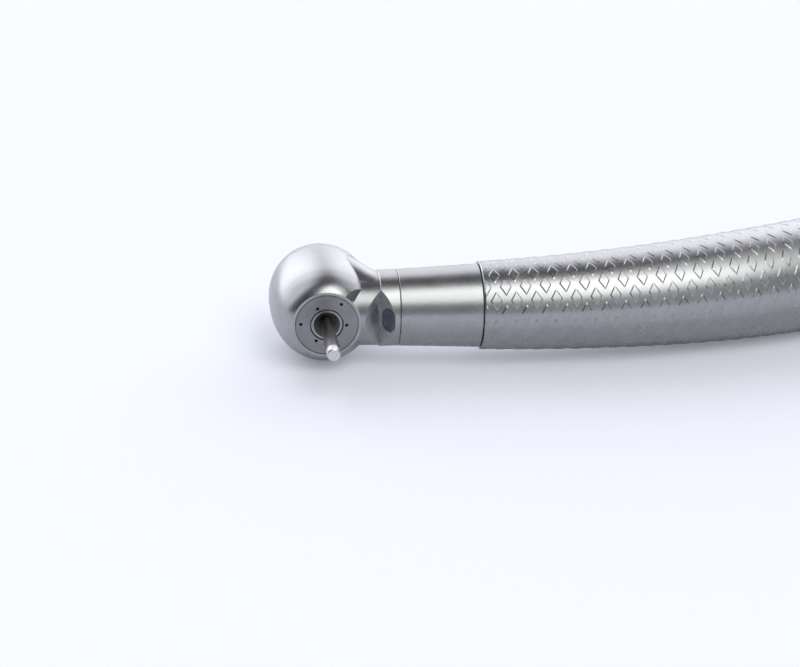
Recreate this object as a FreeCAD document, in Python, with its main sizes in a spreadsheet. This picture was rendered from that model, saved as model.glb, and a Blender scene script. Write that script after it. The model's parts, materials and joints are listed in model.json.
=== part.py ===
import FreeCAD, Part
import math
import os
import re
import Sketcher
from FreeCAD import Placement, Rotation, Vector

# A dental turbine handpiece lying on its side: a round head with a push-button chuck and a
# bur, a thin neck with a light window, and a bent handle that ends in a four-hole connector.
# The origin is on the spindle's axis in the head's front face. The bur points along -Y, the
# neck leaves the head along +X, and the handle bends away from the bur, towards +Y.

# The driving dimensions, in millimetres and degrees. "depth" is measured from the head's
# front face along +Y, "reach" from the spindle's axis along the neck.
SIZES = {
    # clearances
    "seat_gap": 0.02,
    "running_gap": 0.05,
    "seam_gap": 0.08,
    "impeller_gap": 0.25,
    # head housing
    "head_radius": 6.32,
    "head_height": 14.5,
    "head_waist_depth": 7.2,
    "front_curve_radius": 3.4,
    "front_curve_overrun": 0.23,
    "rear_curve_power": 3.2,
    "rim_radius": 4.12,
    "chamber_radius": 4.75,
    "chamber_depth": 4.3,
    "lip_depth": 0.9,
    "nose_hole_radius": 2.0,
    "channel_depth": 0.35,
    # spray cap
    "cap_seat_radius": 3.8,
    "spray_hole_radius": 0.19,
    "outer_spray_radius": 3.1,
    "inner_spray_radius": 2.37,
    "outer_spray_angle": 57.0,
    "inner_spray_angle": -2.0,
    # neck of the head housing
    "neck_depth": 4.84,
    "neck_front_radius": 4.28,
    "ridge_reach": 6.6,
    "ridge_step": 0.09,
    "collar_radius": 4.64,
    "collar_reach": 8.84,
    "spigot_radius": 3.95,
    "spigot_length": 2.8,
    "neck_cone_reach": 3.3,
    "flare_root_reach": 1.0,
    "flare_root_rise": 0.4,
    "flare_reach": 3.0,
    "flare_radius": 5.6,
    "flare_depth": 7.6,
    "flare_sink": 0.06,
    "ball_trim_reach": 2.18,
    "ball_trim_angle": 46.2,
    # notch for the light
    "notch_reach": 6.57,
    "notch_depth": 1.9,
    "notch_rear_angle": 45.0,
    "notch_front_angle": 36.5,
    "window_width": 1.85,
    "window_height": 2.85,
    "window_offset": 1.34,
    "window_thickness": 1.1,
    "window_gap": 0.06,
    "light_pocket_spare": 0.4,
    "light_bore_radius": 1.05,
    "light_bore_drop": 2.3,
    "light_bore_setback": 1.9,
    "emitter_width": 1.3,
    "emitter_height": 1.8,
    "emitter_thickness": 0.6,
    "board_thickness": 0.35,
    "board_width": 1.4,
    "board_height": 1.9,
    # ducts in the neck, "drop" towards the bur and "rise" away from it
    "duct_reach": 3.0,
    "duct_rise": 1.5,
    "drive_duct_side": 2.2,
    "drive_duct_radius": 0.75,
    "exhaust_duct_side": 2.0,
    "exhaust_duct_radius": 0.9,
    "spray_tube_drop": 1.9,
    "spray_tube_side": 2.2,
    "spray_tube_radius": 0.5,
    "spray_tube_bore": 0.3,
    "spray_duct_length": 3.5,
    "tube_socket_depth": 0.8,
    # bearings
    "ball_radius": 0.5,
    "ball_count": 7,
    "ball_circle_radius": 2.38,
    "bearing_bore_radius": 1.5875,
    "bearing_radius": 3.175,
    "bearing_width": 2.38,
    "race_gap": 0.02,
    "inner_ring_radius": 2.02,
    "outer_ring_bore": 2.74,
    "cage_wall": 0.3,
    "cage_width": 1.5,
    "front_bearing_depth": 1.55,
    "bearing_ring_groove": 3.65,
    "bearing_ring_groove_width": 0.6,
    # rotor
    "spindle_nose_radius": 1.85,
    "spindle_nose_depth": 0.05,
    "nose_dish_radius": 1.6,
    "nose_dish_depth": 0.6,
    "chuck_mouth_radius": 0.92,
    "chuck_radius": 1.2,
    "chuck_front_depth": 1.65,
    "chuck_bore_gap": 0.03,
    "impeller_depth": 5.2,
    "impeller_rear_gap": 0.5,
    "impeller_hub_radius": 2.3,
    "impeller_web": 0.5,
    "impeller_web_inset": 0.3,
    "blade_count": 12,
    "blade_thickness": 0.5,
    "blade_knee_lean": 0.22,
    "blade_lean": 0.75,
    "chuck_step": 0.2,
    "chuck_nose_radius": 0.8,
    # bur blank
    "bur_radius": 0.8,
    "bur_free_length": 8.8,
    "bur_tip_chamfer": 0.15,
    # rear of the head, its depths measured from the top of the button
    "cap_rear_depth": 0.45,
    "cap_lip_depth": 1.15,
    "button_pin_depth": 1.78,
    "housing_rear_depth": 1.9,
    "spindle_rear_depth": 2.9,
    "carrier_rear_depth": 3.05,
    "bur_stop_depth": 4.3,
    "rear_bearing_depth": 5.5,
    "carrier_lead": 0.1,
    "carrier_radius": 4.72,
    "carrier_groove_radius": 4.3,
    "washer_bore": 3.75,
    "washer_radius": 4.6,
    "washer_thickness": 0.25,
    "cap_skirt_bore": 3.95,
    "button_radius": 3.4,
    "button_flange_radius": 3.8,
    "button_flange_width": 0.35,
    "button_edge": 0.35,
    "button_pin_radius": 0.9,
    "button_travel": 0.6,
    "spring_wire_radius": 0.14,
    "spring_turns": 2,
    "spring_radius": 3.45,
    # neck sleeve and handle
    "neck_sleeve_length": 9.95,
    "neck_sleeve_front_radius": 4.66,
    "neck_sleeve_rear_radius": 5.09,
    "neck_sleeve_bore": 4.05,
    "neck_ring_groove_radius": 3.5,
    "neck_ring_groove_width": 0.7,
    "neck_ring_groove_setback": 1.2,
    "grip_spigot_radius": 4.35,
    "grip_spigot_length": 4.0,
    "bend_radius": 132.0,
    "bend_angle": 22.0,
    "grip_front_radius": 5.33,
    "grip_quarter_radius": 5.87,
    "grip_half_radius": 6.44,
    "grip_three_quarter_radius": 6.93,
    "grip_bend_end_radius": 7.22,
    "grip_widest_radius": 7.3,
    "grip_widest_length": 16.0,
    "grip_rear_radius": 6.75,
    "grip_rear_length": 38.0,
    "grip_wall": 0.9,
    "holder_width": 2.0,
    "holder_reach": 13.0,
    "hole_gap": 0.04,
    # tubes and wires
    "drive_tube_radius": 1.0,
    "drive_tube_bore": 0.75,
    "wire_radius": 0.45,
    # generator
    "bulkhead_setback": 0.5,
    "bulkhead_width": 1.6,
    "bulkhead_exhaust_side": 5.0,
    "generator_length": 17.0,
    "generator_radius": 3.85,
    "generator_wall": 0.3,
    "generator_rise": 2.1,
    "coil_bore": 2.15,
    "coil_length": 9.0,
    "coil_gap": 0.8,
    "coil_flange": 0.8,
    "coil_recess": 0.25,
    "end_plate_width": 1.0,
    "bush_radius": 1.3,
    "shaft_radius": 0.6,
    "shaft_setback": 0.15,
    "magnet_radius": 1.9,
    "magnet_length": 8.0,
    "fan_gap": 0.6,
    "fan_radius": 3.2,
    "fan_width": 2.2,
    "fan_hub_radius": 1.3,
    "fan_blade_count": 6,
    "fan_blade_thickness": 0.4,
    "fan_blade_knee_lean": 0.1,
    "fan_blade_lean": 0.4,
    "port_radius": 0.75,
    # connector
    "lock_ring_radius": 6.75,
    "lock_ring_width": 2.2,
    "lock_ring_edge": 0.25,
    "connector_plug_radius": 5.75,
    "connector_plug_length": 7.0,
    "connector_neck_radius": 5.5,
    "connector_neck_length": 1.5,
    "connector_thread_radius": 5.95,
    "connector_thread_length": 6.5,
    "connector_edge": 0.5,
    "large_port_radius": 1.25,
    "small_port_radius": 0.8,
    "port_depth": 6.0,
    "large_port_rise": 2.2,
    "large_port_side": 2.2,
    "connector_ring_groove_radius": 5.4,
    "connector_ring_groove_width": 0.6,
    "connector_ring_setback": 3.0,
    "connector_ring_section": 0.19,
}

doc = FreeCAD.newDocument("dental_turbine_handpiece")
sheet = doc.addObject("Spreadsheet::Sheet", "sizes")
for row, (alias, value) in enumerate(SIZES.items(), start=1):
    sheet.set(f"A{row}", alias.replace("_", " "))
    sheet.set(f"B{row}", str(value))
    sheet.setAlias(f"B{row}", alias)
doc.recompute()


# Expressions

def bound(text):
    """The text as an expression that reads each size it names from the sheet."""
    return re.sub(r"[a-z_]+", lambda word: "sizes." + word[0] if word[0] in SIZES else word[0], text)


def bind(thing, **texts):
    """Bind properties of an object to expressions; a double underscore stands for a dot."""
    for name, text in texts.items():
        thing.setExpression(name.replace("__", "."), bound(text))


def front_radius(depth):
    """The head's outside radius in front of its widest place: an ellipse."""
    drop = f"((head_waist_depth - ({depth})) / (head_waist_depth + front_curve_overrun))"
    return (f"front_curve_radius + (head_radius - front_curve_radius)"
            f" * sqrt(1 - {drop} ^ 2)")


def rear_radius(depth):
    """The head's outside radius behind its widest place: a rounder, fuller curve."""
    share = f"((({depth}) - head_waist_depth) / (head_height - head_waist_depth))"
    return f"head_radius * (1 - {share} ^ rear_curve_power) ^ (1 / rear_curve_power)"


# How far a cutting shape reaches past the surface that it cuts
OVERRUN = "1"

# Corners of the section of an O-ring and of the spring's wire
RING_SIDES = 8
WIRE_SIDES = 6

# Places in the rear of the head, measured from its front face
CAP_REAR = "(head_height - cap_rear_depth)"
CAP_LIP = "(head_height - cap_lip_depth)"
BUTTON_PIN = "(head_height - button_pin_depth)"
HOUSING_REAR = "(head_height - housing_rear_depth)"
SPINDLE_REAR = "(head_height - spindle_rear_depth)"
CARRIER_REAR = "(head_height - carrier_rear_depth)"
BUR_STOP = "(head_height - bur_stop_depth)"
REAR_BEARING = "(head_height - rear_bearing_depth)"
CARRIER_FRONT = f"({REAR_BEARING} - carrier_lead)"
IMPELLER_WIDTH = f"({CARRIER_FRONT} - impeller_rear_gap - impeller_depth)"

# Places along the neck, measured from the spindle's axis
SLEEVE_START = "(collar_reach + seam_gap)"
BEND_START = f"({SLEEVE_START} + neck_sleeve_length + seam_gap)"
BEND_END_X = f"({BEND_START} + bend_radius * sin(bend_angle * 1deg))"
BEND_END_Y = "(bend_radius * (1 - cos(bend_angle * 1deg)))"
SPIGOT_END = "(collar_reach + spigot_length)"
SOCKET_START = f"({SPIGOT_END} - tube_socket_depth)"
SPRAY_DUCT_START = f"({SPIGOT_END} - spray_duct_length)"

# Places behind the light window, measured into the neck from the notch's rear facet
EMITTER_START = "(window_thickness + seat_gap)"
BOARD_START = f"({EMITTER_START} + emitter_thickness + seat_gap)"

# Places along the straight rear of the handle, measured from the end of its bend
GENERATOR_FRONT = "(bulkhead_setback + bulkhead_width)"
GENERATOR_REAR = f"({GENERATOR_FRONT} + generator_length)"
PLUG_FRONT = "(grip_rear_length - connector_plug_length)"
LOCK_RING_FRONT = "(grip_rear_length + seam_gap)"
LOCK_RING_REAR = f"({LOCK_RING_FRONT} + lock_ring_width)"
THREAD_FRONT = f"({LOCK_RING_REAR} + connector_neck_length)"
CONNECTOR_REAR = f"({THREAD_FRONT} + connector_thread_length)"


# Placements of the three axes that pieces are turned about

def on_spindle(piece):
    """Pieces on the spindle's axis need no placement: they are turned about Y."""
    return piece


def on_neck(piece):
    """Turn a piece made about Y so that it lies along the neck, its zero at the spindle."""
    piece.Placement = Placement(Vector(0, SIZES["neck_depth"], 0), Rotation(Vector(0, 0, -1), 90))
    bind(piece, Placement__Base__y="neck_depth")
    return piece


def on_handle(piece, rise="0"):
    """Turn a piece made about Y so that it lies along the straight rear of the handle."""
    angle = 90 - SIZES["bend_angle"]
    piece.Placement = Placement(Vector(0, 0, 0), Rotation(Vector(0, 0, -1), angle))
    bind(
        piece,
        Placement__Base__x=f"{BEND_END_X} - ({rise}) * sin(bend_angle * 1deg)",
        Placement__Base__y=f"neck_depth + {BEND_END_Y} + ({rise}) * cos(bend_angle * 1deg)",
        Placement__Rotation__Angle="90 - bend_angle",
    )
    return piece


# Sketches

def origin_plane(body, role):
    return [plane for plane in body.Origin.OriginFeatures if plane.Role == role][0]


def new_sketch(body, name, role):
    sketch = body.newObject("Sketcher::SketchObject", name)
    sketch.AttachmentSupport = [(origin_plane(body, role), "")]
    sketch.MapMode = "FlatFace"
    return sketch


def hold_point(sketch, line, end, across, up):
    """Fix a point of a sketch at the two expressions, measured from its origin."""
    for kind, text, axis in (("DistanceX", across, -2), ("DistanceY", up, -1)):
        if text == "0":
            sketch.addConstraint(Sketcher.Constraint("PointOnObject", line, end, axis))
        else:
            index = sketch.addConstraint(Sketcher.Constraint(kind, line, end, 1.0))
            sketch.setExpression(f"Constraints[{index}]", bound(text))


def add_polygon(sketch, corners):
    """A closed outline of straight lines through the corners, each a pair of expressions."""
    count = len(corners)
    first = sketch.GeometryCount
    turn = 2 * math.pi / count
    ring = [Vector(20 + math.cos(turn * i), 20 + math.sin(turn * i), 0) for i in range(count)]
    for i in range(count):
        sketch.addGeometry(Part.LineSegment(ring[i], ring[(i + 1) % count]))
    for i in range(count):
        follower = first + (i + 1) % count
        sketch.addConstraint(Sketcher.Constraint("Coincident", first + i, 2, follower, 1))
    for i, (across, up) in enumerate(corners):
        hold_point(sketch, first + i, 1, across, up)


def add_circle(sketch, radius, across="0", up="0"):
    circle = sketch.addGeometry(Part.Circle(Vector(20, 20, 0), Vector(0, 0, 1), 1))
    index = sketch.addConstraint(Sketcher.Constraint("Radius", circle, 1.0))
    sketch.setExpression(f"Constraints[{index}]", bound(radius))
    if across == "0" and up == "0":
        sketch.addConstraint(Sketcher.Constraint("Coincident", circle, 3, -1, 1))
    else:
        hold_point(sketch, circle, 3, across, up)


# Features of a body

def new_body(label):
    body = doc.addObject("PartDesign::Body", label)
    body.Label = label
    return body


def turn(body, name, corners, kind="Revolution"):
    """Turn an outline of (radius, place along the axis) corners about the body's Y axis."""
    sketch = new_sketch(body, name + "_outline", "XY_Plane")
    add_polygon(sketch, corners)
    feature = body.newObject("PartDesign::" + kind, name)
    feature.Profile = sketch
    feature.ReferenceAxis = (sketch, ["V_Axis"])
    feature.Angle = 360
    return feature


def extrude(body, name, draw, start, length, kind="Pad"):
    """Pad or pocket a sketch drawn across the body's Y axis, from start along +Y."""
    sketch = new_sketch(body, name + "_outline", "XZ_Plane")
    end = f"({start}) + ({length})"
    bind(sketch, AttachmentOffset__Base__z=f"-({end})" if kind == "Pad" else f"-({start})")
    draw(sketch)
    feature = body.newObject("PartDesign::" + kind, name)
    feature.Profile = sketch
    bind(feature, Length=length)
    return feature


def repeat_about_axis(body, feature, count):
    """Repeat a feature about the body's Y axis."""
    pattern = body.newObject("PartDesign::PolarPattern", feature.Name + "_ring")
    pattern.Originals = [feature]
    pattern.Axis = (origin_plane(body, "Y_Axis"), [""])
    pattern.Angle = 360
    bind(pattern, Occurrences=count)
    body.Tip = pattern
    return pattern


def loft(body, name, sections, kind="AdditiveLoft", ruled=False):
    """Loft through circles; each is (x, y, tilt about Z, radius) in the body's frame."""
    circles = []
    for number, (x, y, tilt, radius) in enumerate(sections):
        sketch = new_sketch(body, f"{name}_{number}", "YZ_Plane")
        sketch.AttachmentOffset = Placement(Vector(0, 0, 0), Rotation(Vector(0, 1, 0), 1))
        bind(
            sketch,
            AttachmentOffset__Base__x=y,
            AttachmentOffset__Base__z=x,
            AttachmentOffset__Rotation__Angle=tilt,
        )
        add_circle(sketch, radius)
        circles.append(sketch)
    feature = body.newObject("PartDesign::" + kind, name)
    feature.Profile = circles[0]
    feature.Sections = circles[1:]
    feature.Ruled = ruled
    return feature


def stack_loft(body, name, stations, kind="AdditiveLoft"):
    """Loft through circles across the body's Y axis; each is (place along Y, radius)."""
    circles = []
    for number, (place, radius) in enumerate(stations):
        sketch = new_sketch(body, f"{name}_{number}", "XZ_Plane")
        bind(sketch, AttachmentOffset__Base__z=f"-({place})")
        add_circle(sketch, radius)
        circles.append(sketch)
    feature = body.newObject("PartDesign::" + kind, name)
    feature.Profile = circles[0]
    feature.Sections = circles[1:]
    feature.Ruled = False
    return feature


def turned(label, corners, place=on_spindle):
    """A body of revolution."""
    body = new_body(label)
    turn(body, label + "_turn", corners)
    return place(body)


def ring_outline(inner, outer, start, end):
    return [(inner, start), (outer, start), (outer, end), (inner, end)]


# Part primitives

def primitive(kind, name, **texts):
    shape = doc.addObject("Part::" + kind, name)
    bind(shape, **texts)
    return shape


def cylinder_along(name, direction, radius, length, x="0", y="0", z="0"):
    """A cylinder from a point along +X or +Y."""
    rotation = {"X": Rotation(Vector(0, 1, 0), 90), "Y": Rotation(Vector(1, 0, 0), -90)}
    shape = doc.addObject("Part::Cylinder", name)
    shape.Placement = Placement(Vector(0, 0, 0), rotation[direction])
    bind(
        shape, Radius=radius, Height=length,
        Placement__Base__x=x, Placement__Base__y=y, Placement__Base__z=z,
    )
    return shape


def fused(name, shapes):
    result = doc.addObject("Part::MultiFuse", name)
    result.Shapes = shapes
    return result


def cut(name, base, tool):
    result = doc.addObject("Part::Cut", name)
    result.Base = base
    result.Tool = tool
    return result


def common(name, first, second):
    result = doc.addObject("Part::Common", name)
    result.Base = first
    result.Tool = second
    return result


def bent_rod(name, radius, rise, side, start, rear_length):
    """A rod along the handle's line: straight in the neck, bent in the grip, straight again."""
    front = cylinder_along(
        name + "_front", "X", radius, f"{BEND_START} - ({start})",
        x=start, y=f"neck_depth + ({rise})", z=side,
    )
    bend = doc.addObject("Part::Torus", name + "_bend")
    bend.Placement = Placement(Vector(0, 0, 0), Rotation(Vector(0, 0, 1), 270))
    bind(
        bend, Radius1=f"bend_radius - ({rise})", Radius2=radius, Angle3="bend_angle",
        Placement__Base__x=BEND_START, Placement__Base__y="neck_depth + bend_radius",
        Placement__Base__z=side,
    )
    rear = doc.addObject("Part::Cylinder", name + "_rear")
    rear.Placement = Placement(Vector(0, 0, 0), Rotation(Vector(0, 1, 0), 90))
    bind(rear, Radius=radius, Height=rear_length)
    rear_frame = rear_placed(name + "_rear_placed", rear, rise, side)
    return fused(name, [front, bend, rear_frame])


def rear_placed(name, shape, rise, side):
    """A copy of a shape made along +X, put at the start of the handle's straight rear."""
    placed = doc.addObject("Part::Compound", name)
    placed.Links = [shape]
    placed.Placement = Placement(Vector(0, 0, 0), Rotation(Vector(0, 0, 1), SIZES["bend_angle"]))
    bind(
        placed,
        Placement__Base__x=f"{BEND_END_X} - ({rise}) * sin(bend_angle * 1deg)",
        Placement__Base__y=f"neck_depth + {BEND_END_Y} + ({rise}) * cos(bend_angle * 1deg)",
        Placement__Base__z=side,
        Placement__Rotation__Angle="bend_angle",
    )
    return placed


# Head housing

def ball():
    """The head's round outside, trimmed by a slanting plane where the neck comes out."""
    body = new_body("head_ball")
    front = [f"head_waist_depth * {share}" for share in (0, 0.08, 0.22, 0.42, 0.68, 1)]
    behind = f"({HOUSING_REAR} - head_waist_depth)"
    rear = [f"head_waist_depth + {behind} * {share}" for share in (0.35, 0.62, 0.84, 1)]
    stations = [(depth, front_radius(depth)) for depth in front]
    stations += [(depth, rear_radius(depth)) for depth in rear]
    stack_loft(body, "ball_loft", stations)
    outline = new_sketch(body, "ball_trim_outline", "XY_Plane")
    slope = "tan(ball_trim_angle * 1deg)"
    add_polygon(outline, [
        (f"ball_trim_reach - {OVERRUN} / {slope}", f"-{OVERRUN}"),
        (f"ball_trim_reach + neck_depth / {slope}", "neck_depth"),
        ("head_radius * 2", "neck_depth"),
        ("head_radius * 2", f"-{OVERRUN}"),
    ])
    trim = body.newObject("PartDesign::Pocket", "ball_trim")
    trim.Profile = outline
    trim.SideType = "Symmetric"
    bind(trim, Length="head_radius * 3")
    return body


def flare():
    """The hollow curve that runs from the ball down to the ridge around the neck."""
    body = new_body("head_flare")
    span = "(ridge_reach - flare_reach)"
    sections = [("flare_root_reach", "flare_depth + flare_root_rise", "0", "flare_radius")]
    for share, settle in ((0, 0), (0.42, 0.4), (0.72, 0.78), (1, 1)):
        sections.append((
            f"flare_reach + {span} * {share}",
            f"flare_depth + (neck_depth - flare_depth) * {settle}",
            "0",
            f"flare_radius + (collar_radius - ridge_step - flare_sink - flare_radius) * {settle}",
        ))
    loft(body, "flare_loft", sections)
    outline = new_sketch(body, "flare_trim_outline", "XY_Plane")
    add_polygon(outline, [
        ("0", HOUSING_REAR),
        ("head_radius * 2", HOUSING_REAR),
        ("head_radius * 2", "head_height * 2"),
        ("0", "head_height * 2"),
    ])
    trim = body.newObject("PartDesign::Pocket", "flare_trim")
    trim.Profile = outline
    trim.SideType = "Symmetric"
    bind(trim, Length="head_radius * 3")
    return body


def neck():
    """The neck of the casting: a slight cone, the collar and the spigot for the sleeve."""
    cone_end = "collar_radius - ridge_step"
    groove = "(collar_reach + neck_ring_groove_setback)"
    return turned("head_neck", [
        ("0", "0"),
        ("neck_front_radius", "0"),
        ("neck_front_radius", "neck_cone_reach"),
        (cone_end, "ridge_reach"),
        ("collar_radius", "ridge_reach + ridge_step"),
        ("collar_radius", "collar_reach"),
        ("spigot_radius", "collar_reach"),
        ("spigot_radius", groove),
        ("neck_ring_groove_radius", groove),
        ("neck_ring_groove_radius", f"{groove} + neck_ring_groove_width"),
        ("spigot_radius", f"{groove} + neck_ring_groove_width"),
        ("spigot_radius", SPIGOT_END),
        ("0", SPIGOT_END),
    ], on_neck)


def notch():
    """The V-shaped notch in front of the neck; the light shines out of its rear facet."""
    body = new_body("light_notch")
    depth = f"(notch_depth + {OVERRUN})"
    outline = new_sketch(body, "notch_outline", "XY_Plane")
    add_polygon(outline, [
        ("notch_reach", "notch_depth"),
        (f"notch_reach + {depth} / tan(notch_rear_angle * 1deg)", f"-{OVERRUN}"),
        (f"notch_reach - {depth} / tan(notch_front_angle * 1deg)", f"-{OVERRUN}"),
    ])
    pad = body.newObject("PartDesign::Pad", "notch_pad")
    pad.Profile = outline
    pad.SideType = "Symmetric"
    bind(pad, Length="collar_radius * 3")
    return body


def facet_box(name, width, height, start, thickness):
    """A box lying against the notch's rear facet, its depth measured into the neck."""
    box = doc.addObject("Part::Box", name)
    angle = 90 - SIZES["notch_rear_angle"]
    box.Placement = Placement(Vector(0, 0, 0), Rotation(Vector(0, 0, 1), angle))
    along, down = "cos(notch_rear_angle * 1deg)", "sin(notch_rear_angle * 1deg)"
    side = f"(window_offset + ({width}) / 2)"
    bind(
        box, Length=thickness, Width=width, Height=height,
        Placement__Base__x=f"notch_reach + {side} * {along} + ({start}) * {down}",
        Placement__Base__y=f"notch_depth - {side} * {down} + ({start}) * {along}",
        Placement__Base__z=f"-({height}) / 2",
        Placement__Rotation__Angle="90 - notch_rear_angle",
    )
    return box


def facet_round(name, radius, side, start, thickness):
    """A cylinder standing on the notch's rear facet, pointing into the neck."""
    shape = doc.addObject("Part::Cylinder", name)
    tilt = Rotation(Vector(0, 0, 1), 90 - SIZES["notch_rear_angle"])
    shape.Placement = Placement(Vector(0, 0, 0), tilt * Rotation(Vector(0, 1, 0), 90))
    along, down = "cos(notch_rear_angle * 1deg)", "sin(notch_rear_angle * 1deg)"
    bind(
        shape, Radius=radius, Height=thickness,
        Placement__Base__x=f"notch_reach + window_offset * {along} + ({start}) * {down}",
        Placement__Base__y=f"notch_depth - window_offset * {down} + ({start}) * {along}",
        Placement__Base__z=side,
    )
    return shape


def window_prism(name, grow, start, thickness):
    """The window's long round-ended outline, as a prism into the neck."""
    radius = f"(window_width / 2 + ({grow}))"
    centre = "(window_height / 2 - window_width / 2)"
    return fused(name, [
        facet_box(name + "_middle", f"{radius} * 2", f"{centre} * 2", start, thickness),
        facet_round(name + "_upper", radius, centre, start, thickness),
        facet_round(name + "_lower", radius, f"-{centre}", start, thickness),
    ])


def head_bores():
    """The stepped hole through the head that holds the cap, the bearings and the rotor."""
    body = new_body("head_bores")
    seat = "(bearing_radius + seat_gap)"
    seat_front = "(front_bearing_depth - seat_gap)"
    groove_front = "(front_bearing_depth + (bearing_width - bearing_ring_groove_width) / 2)"
    turn(body, "head_bore", [
        ("0", f"-{OVERRUN}"),
        ("cap_seat_radius", f"-{OVERRUN}"),
        ("cap_seat_radius", "lip_depth"),
        ("nose_hole_radius", "lip_depth"),
        ("nose_hole_radius", seat_front),
        (seat, seat_front),
        (seat, groove_front),
        ("bearing_ring_groove", groove_front),
        ("bearing_ring_groove", f"{groove_front} + bearing_ring_groove_width"),
        (seat, f"{groove_front} + bearing_ring_groove_width"),
        (seat, "chamber_depth"),
        ("chamber_radius", "chamber_depth"),
        ("chamber_radius", "head_height"),
        ("0", "head_height"),
    ])
    for name, middle in (("water", "outer_spray_radius"), ("air", "inner_spray_radius")):
        half = "(spray_hole_radius + seat_gap)"
        turn(body, name + "_channel", ring_outline(
            f"{middle} - {half}", f"{middle} + {half}", "0", "lip_depth + channel_depth",
        ))
    return body


def neck_ducts():
    """The drive-air, exhaust, spray and light passages along the neck."""
    rise = "neck_depth + duct_rise"
    drop = "neck_depth - spray_tube_drop"
    ducts = []
    for name, radius, start, across, side in (
        ("drive_duct", "drive_duct_radius", "duct_reach", rise, "drive_duct_side"),
        ("drive_socket", "drive_tube_radius + hole_gap", SOCKET_START, rise, "drive_duct_side"),
        ("exhaust_duct", "exhaust_duct_radius", "duct_reach", rise, "-exhaust_duct_side"),
        ("light_bore", "light_bore_radius", "notch_reach + light_bore_setback",
         "neck_depth - light_bore_drop", "0"),
        ("water_duct", "spray_tube_bore", SPRAY_DUCT_START, drop, "spray_tube_side"),
        ("water_socket", "spray_tube_radius + hole_gap", SOCKET_START, drop, "spray_tube_side"),
        ("chip_air_duct", "spray_tube_bore", SPRAY_DUCT_START, drop, "-spray_tube_side"),
        ("chip_air_socket", "spray_tube_radius + hole_gap", SOCKET_START, drop,
         "-spray_tube_side"),
    ):
        length = f"{SPIGOT_END} + {OVERRUN} - ({start})"
        ducts.append(cylinder_along(name, "X", radius, length, x=start, y=across, z=side))
    return ducts


def head_housing():
    """One casting: ball, flare, notched neck and boss, less the bores and the ducts."""
    notch_tool = notch()
    boss = cylinder_along("cap_boss", "Y", "rim_radius", "chamber_depth")
    outside = fused("head_outside", [
        ball(),
        cut("notched_flare", flare(), notch_tool),
        cut("notched_neck", neck(), notch_tool),
        boss,
    ])
    pocket = f"{BOARD_START} + board_thickness + light_pocket_spare"
    window_hole = window_prism("window_hole", "window_gap", f"-{OVERRUN}",
                               f"{pocket} + {OVERRUN}")
    tools = [head_bores(), window_hole] + neck_ducts()
    return cut("head_housing", outside, fused("head_tools", tools))


def light_pieces():
    """The window, cut flush with the collar, with the emitter and its board behind it."""
    casting = fused("window_trim", [
        cylinder_along(f"window_trim_{part}", "X", f"{part}_radius - seat_gap", end,
                       y="neck_depth")
        for part, end in (("collar", "collar_reach"), ("spigot", SPIGOT_END))
    ])
    rod = window_prism("window_rod", "0", "0", "window_thickness")
    return [
        common("light_window", rod, casting),
        facet_box("light_emitter", "emitter_width", "emitter_height",
                  EMITTER_START, "emitter_thickness"),
        facet_box("light_board", "board_width", "board_height",
                  BOARD_START, "board_thickness"),
    ]


def spray_cap():
    """The flat disc in the head's face, with its two rings of three spray holes."""
    body = new_body("spray_cap")
    turn(body, "cap_disc", ring_outline(
        "nose_hole_radius", "cap_seat_radius - seam_gap", "0", "lip_depth - seat_gap"))

    def holes(sketch):
        for ring, first in (("outer_spray", "outer_spray_angle"),
                            ("inner_spray", "inner_spray_angle")):
            for third in (0, 120, 240):
                angle = f"(({first} + {third}) * 1deg)"
                add_circle(sketch, "spray_hole_radius",
                           f"{ring}_radius * cos{angle}", f"{ring}_radius * sin{angle}")

    extrude(body, "spray_holes", holes, f"-{OVERRUN}", f"lip_depth + 2 * {OVERRUN}", "Pocket")
    return body


# Bearings

def torus_on_spindle(name, ring_radius, wire_radius, depth):
    shape = doc.addObject("Part::Torus", name)
    shape.Placement = Placement(Vector(0, 0, 0), Rotation(Vector(1, 0, 0), -90))
    bind(shape, Radius1=ring_radius, Radius2=wire_radius, Placement__Base__y=depth)
    return shape


def round_ring(label, ring_radius, wire_radius, along, place=on_spindle):
    """A ring of nearly round section, such as an O-ring."""
    corners = []
    for number in range(RING_SIDES):
        angle = f"(({number} + 0.5) * 360deg / {RING_SIDES})"
        corners.append((
            f"{ring_radius} + ({wire_radius}) * cos{angle}",
            f"{along} + ({wire_radius}) * sin{angle}",
        ))
    return turned(label, corners, place)


def spheres(name, radius, depth):
    """A ball at each of the bearing's places around the spindle."""
    result = []
    for number in range(SIZES["ball_count"]):
        angle = f"({number} * 360deg / ball_count)"
        result.append(primitive(
            "Sphere", f"{name}_{number}", Radius=radius, Placement__Base__y=depth,
            Placement__Base__x=f"ball_circle_radius * cos{angle}",
            Placement__Base__z=f"ball_circle_radius * sin{angle}",
        ))
    return result


def bearing_cage(label, middle):
    """A thin ring with a round pocket, drilled from the side, for each ball."""
    body = new_body(label)
    front = f"{middle} - cage_width / 2"
    turn(body, label + "_ring", ring_outline(
        "ball_circle_radius - cage_wall / 2", "ball_circle_radius + cage_wall / 2",
        front, f"{front} + cage_width"))
    sketch = new_sketch(body, label + "_pocket_outline", "YZ_Plane")
    add_circle(sketch, "ball_radius + running_gap", middle)
    pocket = body.newObject("PartDesign::Pocket", label + "_pocket")
    pocket.Profile = sketch
    pocket.Reversed = True
    bind(pocket, Length="outer_ring_bore")
    repeat_about_axis(body, pocket, "ball_count")
    return body


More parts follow.
